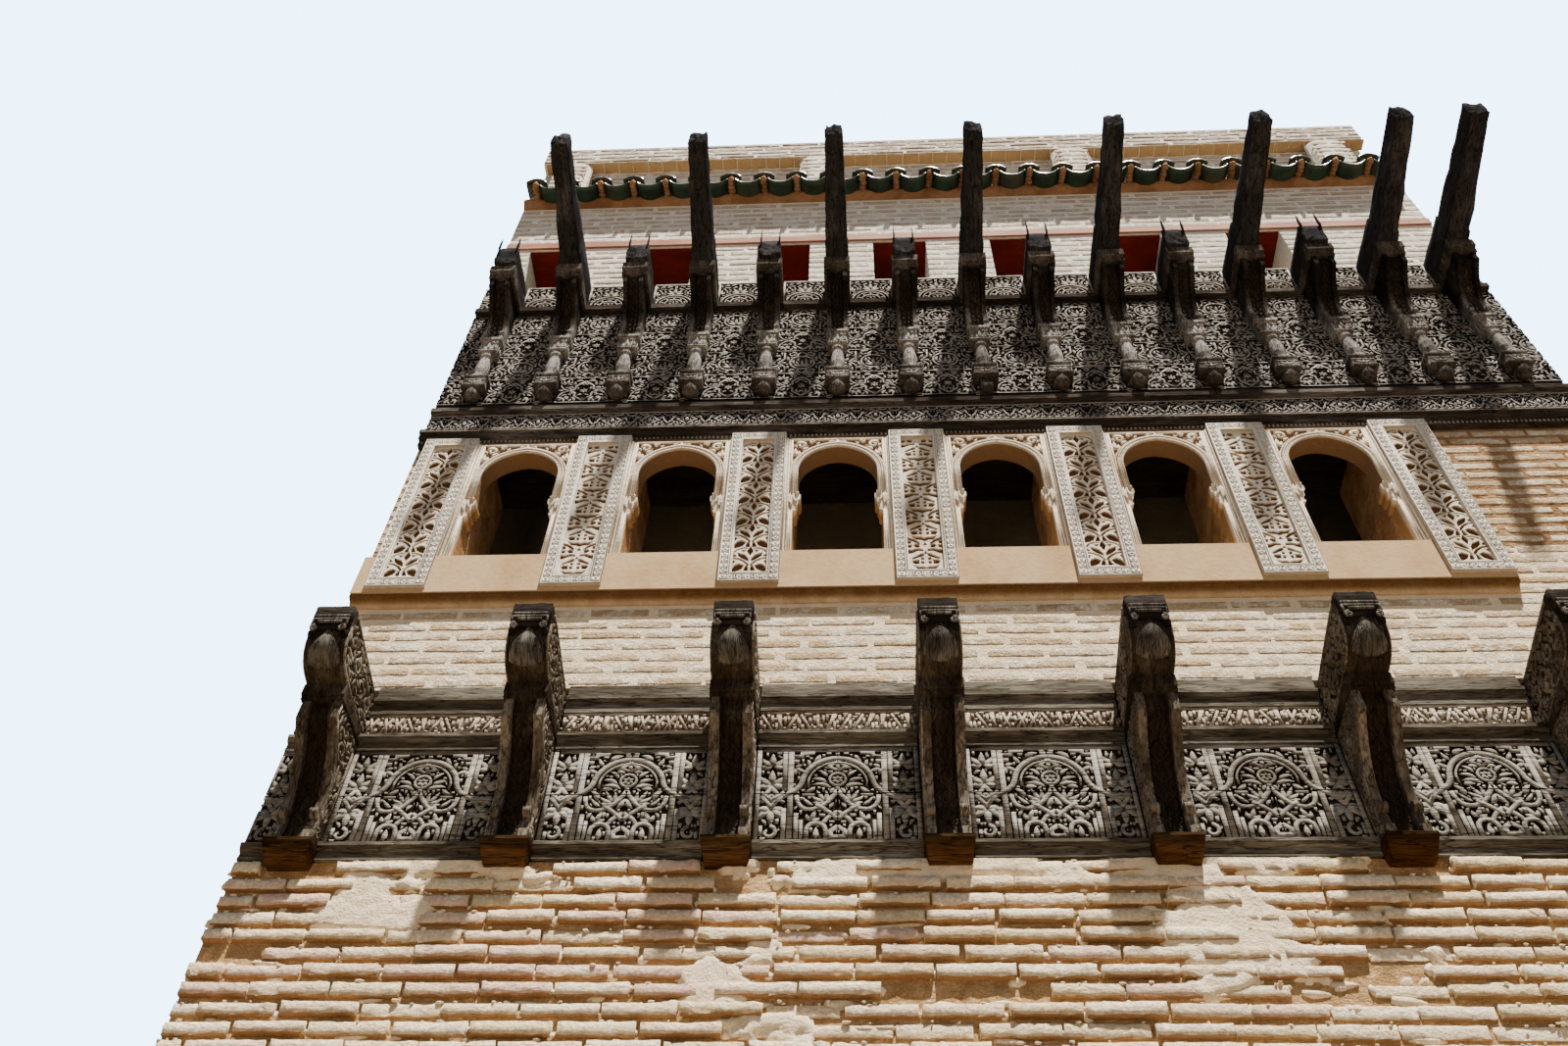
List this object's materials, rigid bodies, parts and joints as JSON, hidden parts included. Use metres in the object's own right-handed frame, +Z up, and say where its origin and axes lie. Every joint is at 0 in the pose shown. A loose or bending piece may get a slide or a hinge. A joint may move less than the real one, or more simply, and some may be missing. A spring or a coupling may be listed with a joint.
{
  "type": "carved cedar and stucco courtyard facade",
  "caption": "Bays of a medieval courtyard facade: brick walls, carved cedar friezes on brackets, and an arcade of small arched gallery windows between stucco pilasters.",
  "frame": {"origin": "on the ground under the middle of the front wall, halfway through its thickness and halfway along the facade", "axes": "+Z up, the carved front faces -Y, +X runs to the right as the front is seen"},
  "size_m": [6.465, 3, 12.256],
  "materials": {
    "weathered_brick": "rough brick laid in deep bed joints",
    "flush_brick": "pale brick with flush lime mortar",
    "floor_boards": "dark dusty boards and joists",
    "roof_screed": "trowelled lime screed",
    "grey_cedar": "weathered carved cedar, grey on the edges",
    "salmon_plaster": "smooth tinted lime plaster",
    "ochre_plaster": "shaded ochre plaster",
    "carved_stucco": "carved gypsum stucco, greyed by weather",
    "lintel_cedar": "plain orange-brown board",
    "dark_cedar": "carved cedar, nearly black, worn grey on the edges",
    "black_cedar": "rough blackened beams",
    "red_painted_wood": "boards painted dark red, faded outside",
    "green_tile": "dark green glazed barrel tiles"
  },
  "bodies": {
    "root": {"front_wall_lower": "weathered_brick", "joist_filling": "weathered_brick", "front_wall_band": "flush_brick", "window_piers": "flush_brick", "front_wall_middle": "flush_brick", "vent_piers": "flush_brick", "front_wall_upper": "flush_brick", "parapet_piers": "flush_brick", "parapet_coping": "flush_brick", "party_walls": "weathered_brick", "rear_wall": "weathered_brick", "gallery_floor": "floor_boards", "gallery_ceiling": "floor_boards", "ceiling_joists": "floor_boards", "roof_deck": "roof_screed", "lower_mouldings": "grey_cedar", "lower_panels": "grey_cedar", "lower_band": "grey_cedar", "lower_plank": "grey_cedar", "bracket_blocks": "grey_cedar", "bracket_cheeks": "grey_cedar", "bracket_soffits": "grey_cedar", "bracket_caps": "grey_cedar", "lower_beams": "grey_cedar", "beam_end_shells": "grey_cedar", "sill_slab": "salmon_plaster", "sill_cove": "ochre_plaster", "pilasters": "carved_stucco", "window_jambs": "carved_stucco", "impost_corbels": "carved_stucco", "arch_heads": "carved_stucco", "lintel_boards": "lintel_cedar", "upper_mouldings": "dark_cedar", "upper_band": "dark_cedar", "upper_panels": "dark_cedar", "small_panels": "dark_cedar", "corbel_blocks": "dark_cedar", "corbel_colonnettes": "dark_cedar", "corbel_cheeks": "dark_cedar", "corbel_caps": "dark_cedar", "long_beams": "black_cedar", "broken_stubs": "black_cedar", "painted_strip": "red_painted_wood", "vent_boards": "red_painted_wood", "eave_board": "lintel_cedar", "eave_tiles": "green_tile"}
  },
  "joints": []
}
